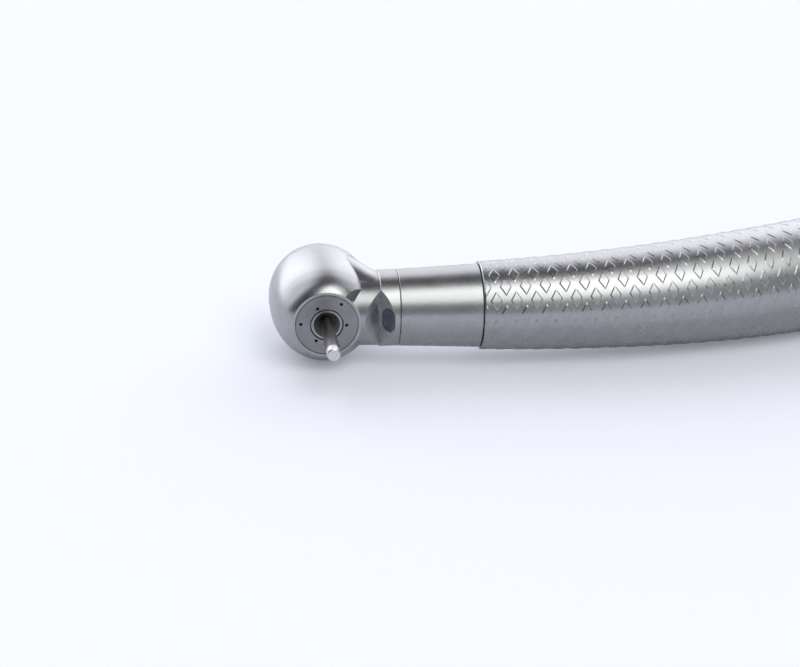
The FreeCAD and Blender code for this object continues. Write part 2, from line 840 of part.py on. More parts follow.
def bearing(prefix, front):
    """A ball bearing: two grooved rings, the balls and the cage between them."""
    end = f"{front} + bearing_width"
    middle = f"({front} + bearing_width / 2)"
    groove = torus_on_spindle(prefix + "_groove", "ball_circle_radius",
                              "ball_radius + race_gap", middle)
    outer = turned(prefix + "_outer_blank", ring_outline(
        "outer_ring_bore", "bearing_radius", front, end))
    inner = turned(prefix + "_inner_blank", ring_outline(
        "bearing_bore_radius", "inner_ring_radius", front, end))
    balls = doc.addObject("Part::Compound", prefix + "_balls")
    balls.Links = spheres(prefix + "_ball", "ball_radius", middle)
    return [
        cut(prefix + "_outer_ring", outer, groove),
        cut(prefix + "_inner_ring", inner, groove),
        balls,
        bearing_cage(prefix + "_cage", middle),
    ]


def bearing_o_ring(label, front):
    """The O-ring that carries a bearing's outer ring."""
    space = "(bearing_ring_groove - bearing_radius)"
    return round_ring(label, f"bearing_radius + {space} / 2",
                      f"{space} / 2 - seat_gap", f"{front} + bearing_width / 2")


# Rotor

def spindle():
    """The hollow spindle, with a dished nose that shows in the middle of the cap."""
    shaft = "bearing_bore_radius - seat_gap"
    return turned("spindle", [
        ("nose_dish_radius", "spindle_nose_depth"),
        ("spindle_nose_radius", "spindle_nose_depth"),
        ("spindle_nose_radius", "front_bearing_depth"),
        (shaft, "front_bearing_depth"),
        (shaft, SPINDLE_REAR),
        ("chuck_radius", SPINDLE_REAR),
        ("chuck_radius", "chuck_front_depth - seat_gap"),
        ("chuck_mouth_radius", "chuck_front_depth - seat_gap"),
        ("chuck_mouth_radius", "nose_dish_depth"),
    ])


def chuck_collet():
    """The gripping sleeve in the spindle; its rear nose is what the button pushes."""
    bore = "bur_radius + chuck_bore_gap"
    floor = f"({BUR_STOP} + running_gap)"
    nose = f"({BUTTON_PIN} - button_travel - seam_gap)"
    return turned("chuck_collet", [
        (bore, "chuck_front_depth"),
        ("chuck_radius - seat_gap", "chuck_front_depth"),
        ("chuck_radius - seat_gap", f"{SPINDLE_REAR} - chuck_step"),
        ("chuck_nose_radius", f"{SPINDLE_REAR} - chuck_step"),
        ("chuck_nose_radius", nose),
        ("0", nose),
        ("0", floor),
        (bore, floor),
    ])


def blade_drawer(hub, tip, thickness, knee_lean, lean):
    """A sketch function for a blade that leans more and more towards its tip."""
    half = f"({thickness} / 2)"
    root = f"({hub} - {half})"
    knee = f"({hub} + {tip}) / 2"
    end = f"sqrt({tip} ^ 2 - ({lean} + {thickness}) ^ 2)"

    def draw(sketch):
        add_polygon(sketch, [
            (root, f"-{half}"),
            (knee, f"{knee_lean} - {half}"),
            (end, f"{lean} - {half}"),
            (end, f"{lean} + {half}"),
            (knee, f"{knee_lean} + {half}"),
            (root, half),
        ])

    return draw


def impeller():
    """The turbine wheel: a hub, a thin web and leaning blades."""
    body = new_body("impeller")
    tip = "(chamber_radius - impeller_gap)"
    middle = f"(impeller_depth + {IMPELLER_WIDTH} / 2)"
    turn(body, "impeller_hub", ring_outline(
        "bearing_bore_radius", "impeller_hub_radius",
        "impeller_depth", f"impeller_depth + {IMPELLER_WIDTH}"))
    turn(body, "impeller_disc", ring_outline(
        "bearing_bore_radius", f"{tip} - impeller_web_inset",
        f"{middle} - impeller_web / 2", f"{middle} + impeller_web / 2"))
    blade = blade_drawer("impeller_hub_radius", tip, "blade_thickness",
                         "blade_knee_lean", "blade_lean")
    vane = extrude(body, "impeller_blade", blade, "impeller_depth", IMPELLER_WIDTH)
    repeat_about_axis(body, vane, "blade_count")
    return body


def test_pin():
    """The plain bur blank that the chuck holds."""
    return turned("test_pin", [
        ("0", "-bur_free_length"),
        ("bur_radius - bur_tip_chamfer", "-bur_free_length"),
        ("bur_radius", "bur_tip_chamfer - bur_free_length"),
        ("bur_radius", BUR_STOP),
        ("0", BUR_STOP),
    ])


# Rear of the head

def bearing_carrier():
    """The cartridge's end ring, which holds the rear bearing and closes the chamber."""
    seat = "(bearing_radius + seat_gap)"
    groove_front = f"({REAR_BEARING} + (bearing_width - bearing_ring_groove_width) / 2)"
    groove_end = f"({groove_front} + bearing_ring_groove_width)"
    return turned("bearing_carrier", [
        (seat, CARRIER_FRONT),
        ("carrier_radius", CARRIER_FRONT),
        ("carrier_radius", groove_front),
        ("carrier_groove_radius", groove_front),
        ("carrier_groove_radius", groove_end),
        ("carrier_radius", groove_end),
        ("carrier_radius", CARRIER_REAR),
        (seat, CARRIER_REAR),
        (seat, groove_end),
        ("bearing_ring_groove", groove_end),
        ("bearing_ring_groove", groove_front),
        (seat, groove_front),
    ])


def carrier_o_ring():
    space = "(chamber_radius - carrier_groove_radius)"
    return round_ring("carrier_o_ring", f"carrier_groove_radius + {space} / 2",
                      f"{space} / 2 - seat_gap", f"{REAR_BEARING} + bearing_width / 2")


WASHER_FRONT = f"({CARRIER_REAR} + seat_gap)"
SKIRT_FRONT = f"({WASHER_FRONT} + washer_thickness + seat_gap)"


def preload_washer():
    return turned("preload_washer", ring_outline(
        "washer_bore", "washer_radius", WASHER_FRONT,
        f"{WASHER_FRONT} + washer_thickness"))


def rear_cap():
    """The screw-in back of the head, which carries on the ball's curve around the button."""
    body = new_body("rear_cap")
    front = f"({HOUSING_REAR} + seat_gap)"
    stations = [f"{front} + ({CAP_REAR} - {front}) * {share}"
                for share in (0, 0.35, 0.65, 0.85, 1)]
    stack_loft(body, "cap_loft", [(depth, rear_radius(depth)) for depth in stations])
    extrude(body, "cap_skirt",
            lambda sketch: add_circle(sketch, "chamber_radius - seat_gap"),
            SKIRT_FRONT, f"{CAP_LIP} - {SKIRT_FRONT}")
    turn(body, "cap_bore", [
        ("0", CARRIER_REAR),
        ("cap_skirt_bore", CARRIER_REAR),
        ("cap_skirt_bore", CAP_LIP),
        ("button_radius + running_gap", CAP_LIP),
        ("button_radius + running_gap", "head_height"),
        ("0", "head_height"),
    ], "Groove")
    return body


def push_button():
    """The button in the back of the head; pressing it opens the chuck."""
    flange_rear = f"({CAP_LIP} - seat_gap)"
    flange_front = f"({flange_rear} - button_flange_width)"
    blank = turned("button_blank", [
        ("0", BUTTON_PIN),
        ("button_pin_radius", BUTTON_PIN),
        ("button_pin_radius", flange_front),
        ("button_flange_radius", flange_front),
        ("button_flange_radius", flange_rear),
        ("button_radius", flange_rear),
        ("button_radius", "head_height - button_edge"),
        ("button_radius - button_edge / 2", "head_height"),
        ("0", "head_height"),
    ])
    dome_radius = "(button_radius ^ 2 + button_edge ^ 2) / (2 * button_edge)"
    dome = primitive("Sphere", "button_dome", Radius=dome_radius,
                     Placement__Base__y=f"head_height - {dome_radius}")
    return common("push_button", blank, dome)


def button_spring():
    """The coil spring under the button's flange."""
    front = f"({CARRIER_REAR} + spring_wire_radius + seat_gap)"
    flange_front = f"({CAP_LIP} - seat_gap - button_flange_width)"
    height = f"({flange_front} - seat_gap - spring_wire_radius - {front})"
    coil = primitive("Helix", "spring_line", Radius="spring_radius", Height=height,
                     Pitch=f"{height} / spring_turns")
    coil.Placement = Placement(Vector(0, 0, 0), Rotation(Vector(1, 0, 0), -90))
    bind(coil, Placement__Base__y=front)
    section = primitive("RegularPolygon", "spring_section", Circumradius="spring_wire_radius",
                        Placement__Base__x="spring_radius", Placement__Base__y=front)
    section.Polygon = WIRE_SIDES
    sweep = doc.addObject("Part::Sweep", "button_spring")
    sweep.Sections = [section]
    sweep.Spine = (coil, ["Edge1"])
    sweep.Solid = True
    sweep.Frenet = True
    return sweep


# Neck sleeve and handle

def neck_sleeve():
    """The smooth sleeve behind the head, with a spigot that enters the grip."""
    rear = f"({SLEEVE_START} + neck_sleeve_length)"
    return turned("neck_sleeve", [
        ("neck_sleeve_bore", SLEEVE_START),
        ("neck_sleeve_front_radius - seam_gap", SLEEVE_START),
        ("neck_sleeve_front_radius", f"{SLEEVE_START} + seam_gap"),
        ("neck_sleeve_rear_radius", f"{rear} - seam_gap"),
        ("neck_sleeve_rear_radius - seam_gap", rear),
        ("grip_spigot_radius", rear),
        ("grip_spigot_radius", f"{rear} + grip_spigot_length"),
        ("neck_sleeve_bore", f"{rear} + grip_spigot_length"),
    ], on_neck)


def neck_o_ring():
    space = "(neck_sleeve_bore - neck_ring_groove_radius)"
    middle = "collar_reach + neck_ring_groove_setback + neck_ring_groove_width / 2"
    return round_ring("neck_o_ring", f"neck_ring_groove_radius + {space} / 2",
                      f"{space} / 2 - seat_gap", middle, on_neck)


def grip_sections(inset):
    """Circles along the handle: evenly round the bend, then along the straight rear."""
    named = ("grip_front_radius", "grip_quarter_radius", "grip_half_radius",
             "grip_three_quarter_radius", "grip_bend_end_radius")
    radii = [named[0]]
    for first, second in zip(named, named[1:]):
        radii += [f"({first} + {second}) / 2", second]
    sections = []
    for number, radius in enumerate(radii):
        angle = f"(bend_angle * {number} / {len(radii) - 1})"
        sections.append((
            f"{BEND_START} + bend_radius * sin({angle} * 1deg)",
            f"bend_radius * (1 - cos({angle} * 1deg))",
            angle,
            f"{radius} - ({inset})",
        ))
    for length, radius in (("grip_widest_length", "grip_widest_radius"),
                           ("grip_rear_length", "grip_rear_radius")):
        sections.append((
            f"{BEND_END_X} + {length} * cos(bend_angle * 1deg)",
            f"{BEND_END_Y} + {length} * sin(bend_angle * 1deg)",
            "bend_angle",
            f"{radius} - ({inset})",
        ))
    return sections


def grip_sleeve():
    """The bent, swelling handle tube."""
    body = new_body("grip_sleeve")
    bind(body, Placement__Base__y="neck_depth")
    loft(body, "grip_outside", grip_sections("0"), ruled=True)
    loft(body, "grip_inside", grip_sections("grip_wall"), "SubtractiveLoft", ruled=True)
    return body


def hole_drawer(holes):
    """A sketch function for round holes, each (radius, rise, side) in the neck or handle."""
    def draw(sketch):
        for radius, rise, side in holes:
            add_circle(sketch, radius, f"-({rise})", side)
    return draw


def tube_places():
    """What runs along the handle: its radius, rise and side."""
    return {
        "drive": ("drive_tube_radius", "duct_rise", "drive_duct_side"),
        "water": ("spray_tube_radius", "-spray_tube_drop", "spray_tube_side"),
        "chip_air": ("spray_tube_radius", "-spray_tube_drop", "-spray_tube_side"),
        "wire": ("wire_radius", "-light_bore_drop", "0"),
    }


def clearance_holes(names):
    places = tube_places()
    holes = []
    for name in names:
        radius, rise, side = places[name]
        holes.append((f"{radius} + hole_gap", rise, side))
    return holes


def tube_holder():
    """The disc in the neck that keeps the tubes apart; the wide hole passes exhaust air."""
    body = new_body("tube_holder")
    turn(body, "holder_disc", ring_outline(
        "0", "neck_sleeve_bore - seat_gap", "holder_reach", "holder_reach + holder_width"))
    holes = clearance_holes(("drive", "water", "chip_air", "wire"))
    holes.append(("exhaust_duct_radius", "duct_rise", "-exhaust_duct_side"))
    extrude(body, "holder_holes", hole_drawer(holes),
            f"holder_reach - {OVERRUN}", f"holder_width + 2 * {OVERRUN}", "Pocket")
    return on_neck(body)


def bulkhead():
    """The disc across the handle that the generator stands on."""
    body = new_body("bulkhead")
    turn(body, "bulkhead_disc", ring_outline(
        "0", "grip_bend_end_radius - grip_wall - seat_gap", "bulkhead_setback", GENERATOR_FRONT))
    holes = clearance_holes(("drive", "water", "chip_air", "wire"))
    holes.append(("exhaust_duct_radius", "0", "-bulkhead_exhaust_side"))
    extrude(body, "bulkhead_holes", hole_drawer(holes), f"bulkhead_setback - {OVERRUN}",
            f"bulkhead_width + 2 * {OVERRUN}", "Pocket")
    return on_handle(body)


def tube(label, place, bore, start, rear_length):
    """A thin tube from the head to the rear of the handle."""
    radius, rise, side = place
    return cut(
        label,
        bent_rod(label + "_rod", radius, rise, side, start, rear_length),
        bent_rod(label + "_bore", bore, rise, side, f"{start} - {OVERRUN}",
                 f"{rear_length} + {OVERRUN}"),
    )


def tubes_and_wire():
    places = tube_places()
    start = f"({SOCKET_START} + seat_gap)"
    full = f"({PLUG_FRONT} + tube_socket_depth - seat_gap)"
    pieces = [
        tube("drive_air_tube", places["drive"], "drive_tube_bore", start,
             f"({GENERATOR_FRONT} - seat_gap)"),
        tube("water_tube", places["water"], "spray_tube_bore", start, full),
        tube("chip_air_tube", places["chip_air"], "spray_tube_bore", start, full),
    ]
    back = f"({BOARD_START} + board_thickness + seat_gap)"
    angle = "(notch_rear_angle * 1deg)"
    board_x = f"(notch_reach + window_offset * cos{angle} + {back} * sin{angle})"
    board_y = f"(notch_depth - window_offset * sin{angle} + {back} * cos{angle})"
    low = "(neck_depth - light_bore_drop - wire_radius)"
    wire_start = f"({board_x} + ({board_y} - {low}) / tan{angle} + seat_gap)"
    pieces.append(bent_rod("light_wires", *places["wire"], wire_start,
                           f"({GENERATOR_FRONT} - seat_gap)"))
    return pieces


# Generator

def on_generator(piece):
    return on_handle(piece, "generator_rise")


GENERATOR_PORT_RISE = "(duct_rise - generator_rise)"
INLET_PORT_RISE = "(large_port_rise - generator_rise)"
FAN_FRONT = f"({GENERATOR_FRONT} + end_plate_width + fan_gap)"
COIL_FRONT = f"({FAN_FRONT} + fan_width + coil_gap)"
END_PLATE_FRONT = f"({GENERATOR_REAR} - end_plate_width)"


def generator_housing():
    """The generator's can: a front wall with the bush and the air port, open at the rear."""
    body = new_body("generator_housing")
    inside = "(generator_radius - generator_wall)"
    wall_end = f"{GENERATOR_FRONT} + end_plate_width"
    turn(body, "can", [
        ("bush_radius + seat_gap", GENERATOR_FRONT),
        ("generator_radius", GENERATOR_FRONT),
        ("generator_radius", GENERATOR_REAR),
        (inside, GENERATOR_REAR),
        (inside, wall_end),
        ("bush_radius + seat_gap", wall_end),
    ])
    port = [("port_radius", GENERATOR_PORT_RISE, "drive_duct_side")]
    extrude(body, "can_port", hole_drawer(port), f"{GENERATOR_FRONT} - {OVERRUN}",
            f"end_plate_width + 2 * {OVERRUN}", "Pocket")
    return on_generator(body)


def generator_end_plate():
    body = new_body("generator_end_plate")
    turn(body, "plate", ring_outline(
        "bush_radius + seat_gap", "generator_radius - generator_wall - seat_gap",
        END_PLATE_FRONT, GENERATOR_REAR))
    port = [("port_radius", INLET_PORT_RISE, "large_port_side")]
    extrude(body, "plate_port", hole_drawer(port), f"{END_PLATE_FRONT} - {OVERRUN}",
            f"end_plate_width + 2 * {OVERRUN}", "Pocket")
    return on_generator(body)


def generator_bush(label, front):
    return turned(label, ring_outline(
        "shaft_radius + race_gap", "bush_radius", front, f"{front} + end_plate_width"),
        on_generator)


def generator_coil():
    """The winding on its former: a spool with two flanges."""
    outside = "(generator_radius - generator_wall - seat_gap)"
    end = f"({COIL_FRONT} + coil_length)"
    return turned("generator_coil", [
        ("coil_bore", COIL_FRONT),
        (outside, COIL_FRONT),
        (outside, f"{COIL_FRONT} + coil_flange"),
        (f"{outside} - coil_recess", f"{COIL_FRONT} + coil_flange"),
        (f"{outside} - coil_recess", f"{end} - coil_flange"),
        (outside, f"{end} - coil_flange"),
        (outside, end),
        ("coil_bore", end),
    ], on_generator)


def generator_shaft():
    return turned("generator_shaft", ring_outline(
        "0", "shaft_radius", f"{GENERATOR_FRONT} + shaft_setback",
        f"{GENERATOR_REAR} - shaft_setback"), on_generator)


def generator_magnet():
    front = f"({COIL_FRONT} + (coil_length - magnet_length) / 2)"
    return turned("generator_magnet", ring_outline(
        "shaft_radius + seat_gap / 2", "magnet_radius", front, f"{front} + magnet_length"),
        on_generator)


def generator_fan():
    """The small air wheel that drives the generator."""
    body = new_body("generator_fan")
    turn(body, "fan_hub", ring_outline(
        "shaft_radius + seat_gap / 2", "fan_hub_radius", FAN_FRONT,
        f"{FAN_FRONT} + fan_width"))

    blade = blade_drawer("fan_hub_radius", "fan_radius", "fan_blade_thickness",
                         "fan_blade_knee_lean", "fan_blade_lean")
    vane = extrude(body, "fan_blade", blade, FAN_FRONT, "fan_width")
    repeat_about_axis(body, vane, "fan_blade_count")
    return on_generator(body)


# Connector

def inlet_tube():
    """The short tube that brings drive air from the connector to the generator."""
    body = new_body("inlet_tube")
    front = f"({GENERATOR_REAR} + seat_gap)"
    end = f"({PLUG_FRONT} + tube_socket_depth - seat_gap)"
    centre = [("drive_tube_radius", "large_port_rise", "large_port_side")]
    bore = [("drive_tube_bore", "large_port_rise", "large_port_side")]
    extrude(body, "inlet_wall", hole_drawer(centre), front, f"{end} - {front}")
    extrude(body, "inlet_bore", hole_drawer(bore), f"{front} - {OVERRUN}",
            f"{end} - {front} + 2 * {OVERRUN}", "Pocket")
    return on_handle(body)


def rear_connector():
    """The four-hole end: a plug in the grip, a relief and a screw thread's outside."""
    body = new_body("rear_connector")
    groove = f"({PLUG_FRONT} + connector_ring_setback)"
    turn(body, "connector_turn", [
        ("0", PLUG_FRONT),
        ("connector_plug_radius", PLUG_FRONT),
        ("connector_plug_radius", groove),
        ("connector_ring_groove_radius", groove),
        ("connector_ring_groove_radius", f"{groove} + connector_ring_groove_width"),
        ("connector_plug_radius", f"{groove} + connector_ring_groove_width"),
        ("connector_plug_radius", LOCK_RING_FRONT),
        ("connector_thread_radius", LOCK_RING_FRONT),
        ("connector_thread_radius", LOCK_RING_REAR),
        ("connector_neck_radius", LOCK_RING_REAR),
        ("connector_neck_radius", THREAD_FRONT),
        ("connector_thread_radius", THREAD_FRONT),
        ("connector_thread_radius", f"{CONNECTOR_REAR} - connector_edge"),
        ("connector_thread_radius - connector_edge", CONNECTOR_REAR),
        ("0", CONNECTOR_REAR),
    ])
    large = [("large_port_radius", "large_port_rise", side)
             for side in ("large_port_side", "-large_port_side")]
    small = [("small_port_radius", "-spray_tube_drop", side)
             for side in ("spray_tube_side", "-spray_tube_side")]
    extrude(body, "ports", hole_drawer(large + small), f"{CONNECTOR_REAR} - port_depth",
            f"port_depth + {OVERRUN}", "Pocket")
    passages = [("drive_tube_bore", "large_port_rise", "large_port_side"),
                ("exhaust_duct_radius", "large_port_rise", "-large_port_side")]
    passages += [("spray_tube_bore", "-spray_tube_drop", side)
                 for side in ("spray_tube_side", "-spray_tube_side")]
    extrude(body, "passages", hole_drawer(passages), f"{PLUG_FRONT} - {OVERRUN}",
            f"{CONNECTOR_REAR} - {PLUG_FRONT}", "Pocket")
    sockets = [("drive_tube_radius + hole_gap", "large_port_rise", "large_port_side")]
    sockets += [("spray_tube_radius + hole_gap", "-spray_tube_drop", side)
                for side in ("spray_tube_side", "-spray_tube_side")]
    extrude(body, "sockets", hole_drawer(sockets), f"{PLUG_FRONT} - {OVERRUN}",
            f"tube_socket_depth + {OVERRUN}", "Pocket")
    return on_handle(body)


def connector_o_ring():
    middle = f"{PLUG_FRONT} + connector_ring_setback + connector_ring_groove_width / 2"
    return round_ring(
        "connector_o_ring", "connector_ring_groove_radius + seat_gap + connector_ring_section",
        "connector_ring_section", middle, on_handle)


def lock_ring():
    """The plain ring between the grip and the connector."""
    return turned("lock_ring", [
        ("connector_thread_radius + seat_gap", LOCK_RING_FRONT),
        ("lock_ring_radius - seam_gap", LOCK_RING_FRONT),
        ("lock_ring_radius", f"{LOCK_RING_FRONT} + seam_gap"),
        ("lock_ring_radius", f"{LOCK_RING_REAR} - lock_ring_edge"),
        ("lock_ring_radius - lock_ring_edge", LOCK_RING_REAR),
        ("connector_thread_radius + seat_gap", LOCK_RING_REAR),
    ], on_handle)


# The whole handpiece

def build():
    pieces = [head_housing(), spray_cap(), spindle(), chuck_collet(), impeller(), test_pin()]
    pieces += light_pieces()
    pieces += bearing("front_bearing", "front_bearing_depth")
    pieces += bearing("rear_bearing", REAR_BEARING)
    pieces += [
        bearing_o_ring("front_bearing_o_ring", "front_bearing_depth"),
        bearing_o_ring("rear_bearing_o_ring", REAR_BEARING),
        bearing_carrier(), carrier_o_ring(), preload_washer(),
        rear_cap(), push_button(), button_spring(),
        neck_sleeve(), neck_o_ring(), grip_sleeve(), tube_holder(), bulkhead(),
    ]
    pieces += tubes_and_wire()
    pieces += [
        generator_housing(), generator_end_plate(),
        generator_bush("generator_front_bush", GENERATOR_FRONT),
        generator_bush("generator_rear_bush", END_PLATE_FRONT),
        generator_coil(), generator_shaft(), generator_magnet(), generator_fan(),
        inlet_tube(), rear_connector(), connector_o_ring(), lock_ring(),
    ]
    return pieces


def check(pieces):
    """Stop if any object failed to build, or a piece has no sound shape."""
    failed = [thing.Name for thing in doc.Objects
              if "Invalid" in thing.State or "Error" in thing.State]
    if failed:
        raise RuntimeError("these objects failed: " + ", ".join(failed))
    for piece in pieces:
        if piece.Shape.isNull() or not piece.Shape.isValid() or piece.Shape.Volume <= 0:
            raise RuntimeError("this piece has no sound shape: " + piece.Label)


pieces = build()
doc.recompute()
check(pieces)
os.makedirs("parts", exist_ok=True)
for piece in pieces:
    piece.Shape.exportStep(f"parts/{piece.Label}.step")
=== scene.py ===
"""The looks of a dental turbine handpiece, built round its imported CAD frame."""
import json
import math

import bmesh
import bpy
from mathutils import Matrix, Vector


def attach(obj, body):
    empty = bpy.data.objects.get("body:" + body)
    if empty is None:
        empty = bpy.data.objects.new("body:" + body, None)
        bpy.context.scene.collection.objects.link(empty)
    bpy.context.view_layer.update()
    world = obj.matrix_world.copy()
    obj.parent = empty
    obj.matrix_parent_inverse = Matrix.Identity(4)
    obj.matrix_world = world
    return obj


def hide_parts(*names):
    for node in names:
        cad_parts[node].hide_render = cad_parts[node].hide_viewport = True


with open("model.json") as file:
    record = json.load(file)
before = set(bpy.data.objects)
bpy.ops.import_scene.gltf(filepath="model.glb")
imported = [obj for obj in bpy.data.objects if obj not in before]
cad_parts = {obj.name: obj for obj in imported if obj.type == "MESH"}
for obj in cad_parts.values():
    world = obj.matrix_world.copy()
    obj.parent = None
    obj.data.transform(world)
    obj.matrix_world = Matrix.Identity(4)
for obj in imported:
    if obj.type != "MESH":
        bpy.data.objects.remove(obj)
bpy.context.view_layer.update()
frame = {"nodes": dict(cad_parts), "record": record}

# One millimetre, in the scene's metres
MM = 0.001

# The handle's line, in millimetres: straight, then an arc, then straight again
NECK_DEPTH = 4.84
BEND_START = 18.95
BEND_RADIUS = 132.0
BEND_ANGLE = math.radians(22)
BEND_END = BEND_START + BEND_RADIUS * BEND_ANGLE

# The grip's outside radius at places along the handle's line
GRIP_END = BEND_END + 38.0
GRIP_PROFILE = [
    (BEND_START, 5.33),
    (BEND_START + 0.25 * (BEND_END - BEND_START), 5.87),
    (BEND_START + 0.5 * (BEND_END - BEND_START), 6.44),
    (BEND_START + 0.75 * (BEND_END - BEND_START), 6.93),
    (BEND_END, 7.22),
    (BEND_END + 16.0, 7.3),
    (GRIP_END, 6.75),
]
GRIP_WALL = 0.9
GRIP_EDGE = 0.08

# The diamonds: raised, each in a rhombic tile of its own, in rows along the handle
DIAMOND_PITCH = 2.346
DIAMOND_ROWS = 20
FIRST_ROW_ANGLE = math.radians(-8.4)
FIRST_DIAMOND = 20.30
DIAMOND_HALF_WIDTH = 0.63
DIAMOND_HALF_HEIGHT = 1.06
BEVEL_WIDTH = 0.13
DIAMOND_RISE = 0.055
EDGE_STEPS = 4

# Points round the grip's inside, and stations along it
RING_POINTS = 96
INSIDE_STATIONS = 40

# Vertices this close become one: in the flat pattern, at a cut, and on the round grip, in metres
FLAT_MERGE = 1e-5
CUT_MERGE = 1e-6
ROUND_MERGE = 1e-7

# Depths along the pin between which the painted highlight on the bur blank's tip fades out
TIP_HIGHLIGHT_FULL = -7.75
TIP_HIGHLIGHT_FADED = -7.45


# Node trees

class Nodes:
    """Short calls that add and link the nodes of one tree."""

    def __init__(self, tree):
        self.tree = tree

    def add(self, kind, inputs=None, **settings):
        made = self.tree.nodes.new("ShaderNode" + kind)
        for key, value in settings.items():
            setattr(made, key, value)
        for key, value in (inputs or {}).items():
            socket = made.inputs[key]
            if isinstance(value, bpy.types.NodeSocket):
                self.tree.links.new(value, socket)
            else:
                socket.default_value = value
        return made

    def noise(self, place, size_mm, detail=2.0):
        """Noise whose features are about size_mm across."""
        made = self.add("TexNoise", {"Vector": place, "Scale": 1 / (size_mm * MM), "Detail": detail})
        return made.outputs["Fac"]

    def span(self, value, low, high, start=0.3, end=0.7):
        """Map a value from start..end to low..high."""
        made = self.add("MapRange", {
            "Value": value, "From Min": start, "From Max": end, "To Min": low, "To Max": high,
        })
        return made.outputs["Result"]

    def blend(self, share, first, second):
        """Mix two colours."""
        made = self.add("Mix", {"Factor": share, "A": first, "B": second}, data_type="RGBA")
        return made.outputs["Result"]

    def sum(self, first, second, operation="ADD"):
        made = self.add("Math", {0: first, 1: second}, operation=operation)
        return made.outputs[0]


def shade(colour, factor):
    return tuple(min(1.0, part * factor) for part in colour[:3]) + (1.0,)


def new_material(name):
    made = bpy.data.materials.new(name)
    made.use_nodes = True
    nodes = Nodes(made.node_tree)
    place = nodes.add("TexCoord").outputs["Object"]
    return made, nodes, made.node_tree.nodes["Principled BSDF"], place


def plug(nodes, surface, **values):
    """Set or link the shader's inputs; a single underscore stands for a space."""
    for name, value in values.items():
        socket = surface.inputs[name.replace("_", " ")]
        if isinstance(value, bpy.types.NodeSocket):
            nodes.tree.links.new(value, socket)
        else:
            socket.default_value = value


def metal(name, colour, roughness, grain=0.12, bump=0.004, mottle=0.05, turned=0.0):
    """Blasted or ground metal: a fine grain, slow changes of tone, and turning marks if asked."""
    made, nodes, surface, place = new_material(name)
    fine = nodes.noise(place, grain)
    slow = nodes.noise(place, 2.2, detail=4.0)
    height = fine
    if turned:
        ring = nodes.add("VectorMath", {0: place, 1: (1.0, 0.0, 1.0)}, operation="MULTIPLY")
        radius = nodes.add("VectorMath", {0: ring.outputs[0]}, operation="LENGTH").outputs["Value"]
        line = nodes.add("CombineXYZ", {"X": radius}).outputs[0]
        height = nodes.sum(fine, nodes.sum(nodes.noise(line, turned), 1.5, "MULTIPLY"))
    normal = nodes.add("Bump", {"Height": height, "Strength": 1.0, "Distance": bump * MM})
    tone = nodes.blend(nodes.span(slow, 0.0, 1.0), shade(colour, 1 - mottle), shade(colour, 1 + mottle))
    plug(
        nodes, surface, Metallic=1.0, Base_Color=tone, Normal=normal.outputs[0],
        Roughness=nodes.span(slow, roughness - 0.02, roughness + 0.03),
    )
    return made


def moulded(name, colour, roughness, grain=0.25, bump=0.006, mottle=0.08):
    """Moulded resin, rubber or enamel."""
    made, nodes, surface, place = new_material(name)
    slow = nodes.noise(place, 1.5, detail=3.0)
    normal = nodes.add("Bump", {
        "Height": nodes.noise(place, grain), "Strength": 1.0, "Distance": bump * MM,
    })
    tone = nodes.blend(nodes.span(slow, 0.0, 1.0), shade(colour, 1 - mottle), shade(colour, 1 + mottle))
    plug(
        nodes, surface, Base_Color=tone, Normal=normal.outputs[0],
        Roughness=nodes.span(slow, roughness - 0.04, roughness + 0.04),
    )
    return made


def window_glass(name):
    """Dark violet-grey glass over the light."""
    made, nodes, surface, place = new_material(name)
    across = nodes.noise(place, 1.2)
    tone = nodes.blend(nodes.span(across, 0.0, 1.0), (0.055, 0.05, 0.08, 1), (0.10, 0.09, 0.13, 1))
    plug(nodes, surface, Base_Color=tone, Roughness=0.12, Coat_Weight=0.6, Coat_Roughness=0.05,
         IOR=1.5)
    return made


def pin_steel(name):
    """The bur blank: drawn along its length, with a painted highlight coloured near-white over its tip,
    where it is also rougher.
    """
    made, nodes, surface, place = new_material(name)
    drawn = nodes.add("Mapping", {"Vector": place, "Scale": (1.0, 0.04, 1.0)}).outputs[0]
    lines = nodes.noise(drawn, 0.08)
    along = nodes.add("SeparateXYZ", {"Vector": place}).outputs["Y"]
    # Painted highlight: towards the tip the colour turns near-white; the rest of the shaft keeps a dark
    # grey drawn tone
    tip_highlight = nodes.span(along, 1.0, 0.0, start=TIP_HIGHLIGHT_FULL * MM, end=TIP_HIGHLIGHT_FADED * MM)
    dark_shaft_tone = nodes.blend(nodes.span(lines, 0.0, 1.0), (0.16, 0.155, 0.16, 1), (0.24, 0.235, 0.24, 1))
    normal = nodes.add("Bump", {"Height": lines, "Strength": 1.0, "Distance": 0.004 * MM})
    plug(
        nodes, surface, Metallic=1.0, Normal=normal.outputs[0],
        Base_Color=nodes.blend(tip_highlight, dark_shaft_tone, (0.7, 0.7, 0.7, 1)),
        Roughness=nodes.span(tip_highlight, 0.28, 0.42, start=0.0, end=1.0),
    )
    return made


def wound_copper(name):
    """Enamelled wire wound round the coil's former, with painted shade in the grooves between its
    turns.
    """
    made, nodes, surface, place = new_material(name)
    wave = nodes.add("TexWave", {"Vector": place, "Scale": 1 / (2.0 * MM)}, bands_direction="X")
    normal = nodes.add("Bump", {
        "Height": wave.outputs["Fac"], "Strength": 1.0, "Distance": 0.05 * MM,
    })
    # Painted shade: the colour is darker where the wave that raises the turns is low, in the grooves
    # between them
    tone = nodes.blend(wave.outputs["Fac"], (0.30, 0.10, 0.05, 1), (0.62, 0.26, 0.13, 1))
    plug(nodes, surface, Metallic=1.0, Base_Color=tone, Roughness=0.3, Normal=normal.outputs[0])
    return made


